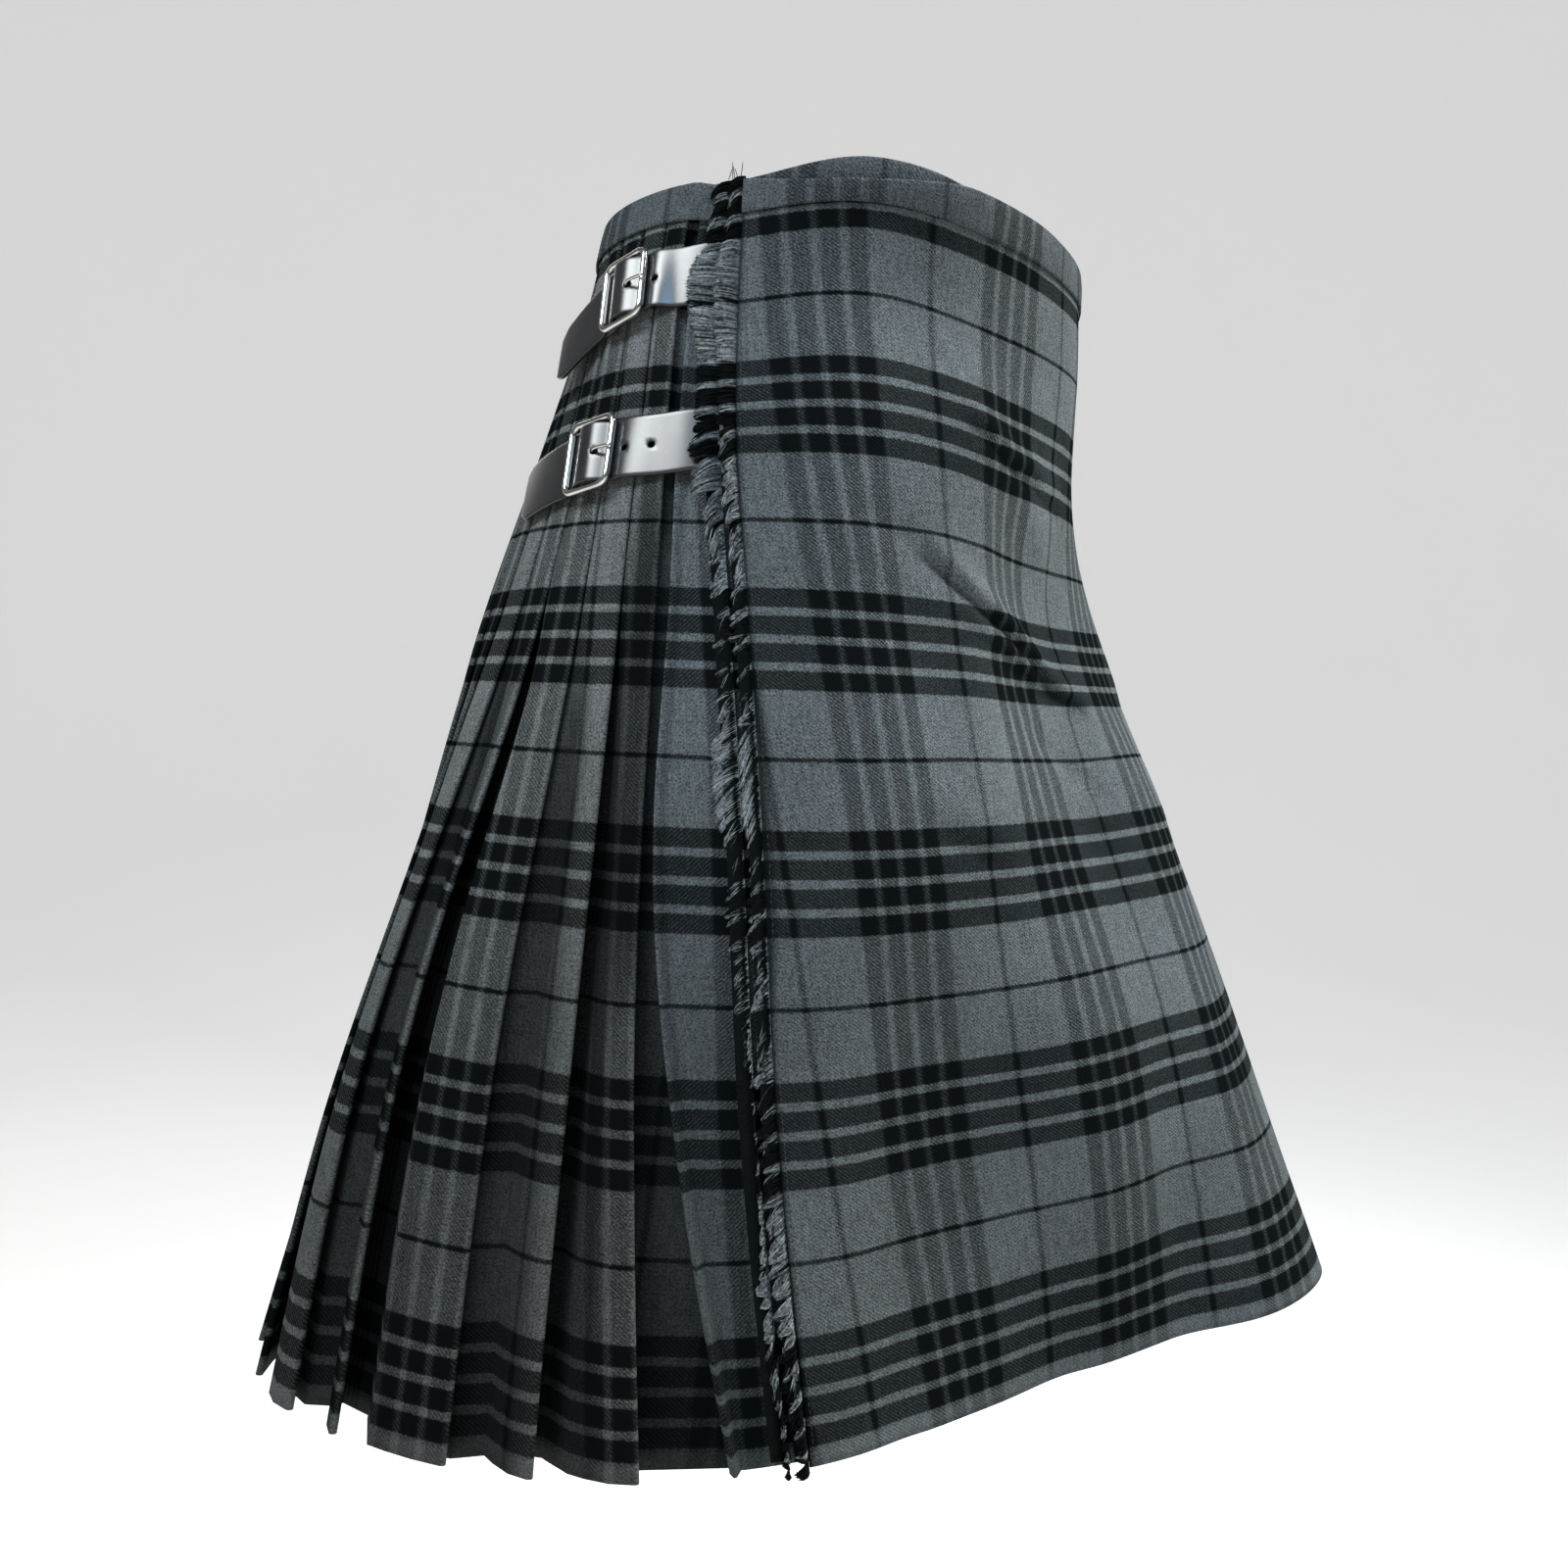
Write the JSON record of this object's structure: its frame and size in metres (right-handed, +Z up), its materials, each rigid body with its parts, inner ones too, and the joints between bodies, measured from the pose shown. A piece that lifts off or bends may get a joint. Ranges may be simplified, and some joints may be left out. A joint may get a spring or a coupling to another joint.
{
  "type": "scottish kilt",
  "caption": "Knee length wrap kilt worn by a walker: flat overlapping aprons with a fringed edge, knife pleated back, leather straps and buckles at both hips.",
  "frame": {"origin": "middle of the waist, level with the top of the waistband, where the wearer holds the kilt up", "axes": "+Z up, the front faces -Y, the wearer's left is +X"},
  "size_m": [0.5518, 0.5406, 0.6127],
  "materials": {
    "apron_cloth": "2/2 twill wool blend, charcoal, black and light grey tartan",
    "pleat_cloth": "2/2 twill wool blend, charcoal, black and light grey tartan, pressed pleats",
    "band_cloth": "the same tartan twill, one folded strip",
    "fringe_yarn": "matted frayed yarn",
    "strap_leather": "smooth glossy black",
    "tab_leather": "matt black brown",
    "buckle_metal": "polished nickel plate"
  },
  "bodies": {
    "root": {"over_apron": "apron_cloth", "under_apron": "apron_cloth", "pleats": "pleat_cloth", "waistband": "band_cloth", "fringe_upper": "fringe_yarn", "fringe_lower": "fringe_yarn", "strap_upper": "strap_leather", "strap_lower": "strap_leather", "strap_left": "strap_leather", "tab_upper": "tab_leather", "tab_lower": "tab_leather", "tab_left": "tab_leather", "buckle_upper": "buckle_metal", "buckle_lower": "buckle_metal", "buckle_left": "buckle_metal", "prong_upper": "buckle_metal", "prong_lower": "buckle_metal", "prong_left": "buckle_metal"}
  },
  "joints": []
}
